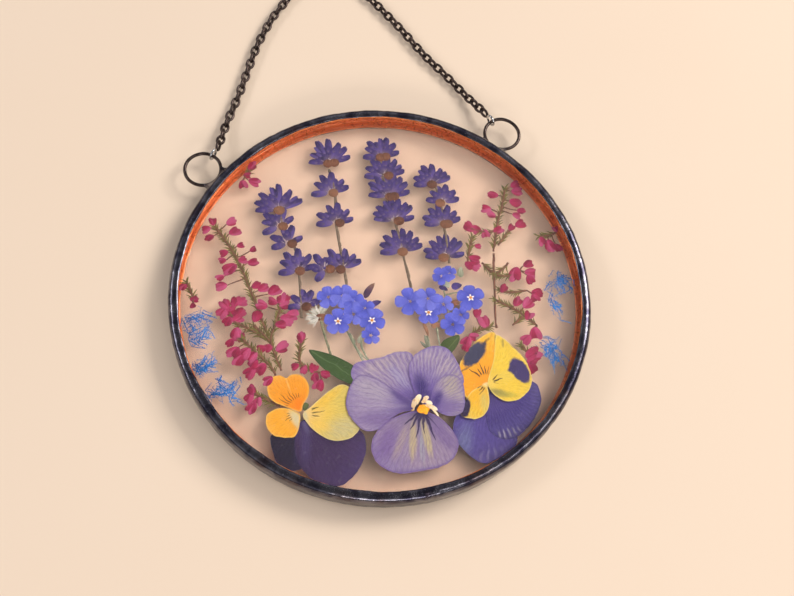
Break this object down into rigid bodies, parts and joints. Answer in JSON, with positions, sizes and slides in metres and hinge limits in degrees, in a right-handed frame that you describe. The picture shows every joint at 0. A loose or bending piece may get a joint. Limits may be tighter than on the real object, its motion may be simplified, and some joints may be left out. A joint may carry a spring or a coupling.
{
  "type": "pressed flower suncatcher",
  "caption": "Round glass suncatcher with pressed flowers between two clear panes, a soldered dark rim over copper foil, wire hanging rings and a fine chain.",
  "frame": {"origin": "middle of the round disc, at the flat back of the solder rim that it rests on", "axes": "+Z out of the front pane, +Y from the middle of the disc towards the midpoint of the two hanging rings"},
  "size_m": [0.102, 0.1533, 0.0072],
  "materials": {
    "glass": "polished",
    "copper": "satin",
    "solder": "satin",
    "silver": "polished",
    "gunmetal": "satin",
    "lilac": "matte",
    "throat": "matte",
    "orange": "matte",
    "yellow": "matte",
    "plum": "matte",
    "violet": "matte",
    "leaf": "matte",
    "lavender": "matte",
    "forget": "matte",
    "calyx": "matte",
    "heather": "matte",
    "lace": "matte"
  },
  "bodies": {
    "root": {"back_glass": "glass", "front_glass": "glass", "copper_foil": "copper", "solder_rim": "solder", "left_hanging_ring": "gunmetal", "right_hanging_ring": "gunmetal", "left_jump_ring": "silver", "right_jump_ring": "silver", "hanging_chain": "gunmetal", "pansy_upper_left_petal": "lilac", "pansy_upper_right_petal": "lilac", "pansy_left_petal": "lilac", "pansy_right_petal": "lilac", "pansy_lip": "lilac", "pansy_throat": "throat", "left_viola_lip": "orange", "left_viola_left_petal": "orange", "left_viola_right_petal": "yellow", "left_viola_large_upper_petal": "plum", "left_viola_small_upper_petal": "plum", "left_viola_sepal": "leaf", "right_viola_lip": "orange", "right_viola_right_petal": "yellow", "right_viola_left_petal": "yellow", "right_viola_right_upper_petal": "violet", "right_viola_left_upper_petal": "violet", "large_leaf": "leaf", "small_leaf": "leaf", "lavender_spike_1": "lavender", "lavender_spike_2": "lavender", "lavender_spike_3": "lavender", "lavender_spike_4": "lavender", "forget_me_not_left": "forget", "forget_me_not_right": "forget", "fuzzy_calyx": "calyx", "heather_left_tip": "heather", "heather_left_fork_1": "heather", "heather_left_fork_2": "heather", "heather_left_fork_3": "heather", "heather_left_foot": "heather", "heather_left_twig": "heather", "heather_loose_upper_left": "heather", "heather_loose_left": "heather", "heather_right_tip": "heather", "heather_right_stem": "heather", "heather_right_fork_1": "heather", "heather_right_fork_2": "heather", "heather_right_fork_3": "heather", "heather_right_foot": "heather", "heather_right_twig": "heather", "heather_loose_right": "heather", "blue_lace_1": "lace", "blue_lace_2": "lace", "blue_lace_3": "lace", "blue_lace_4": "lace", "blue_lace_5": "lace"}
  },
  "joints": []
}
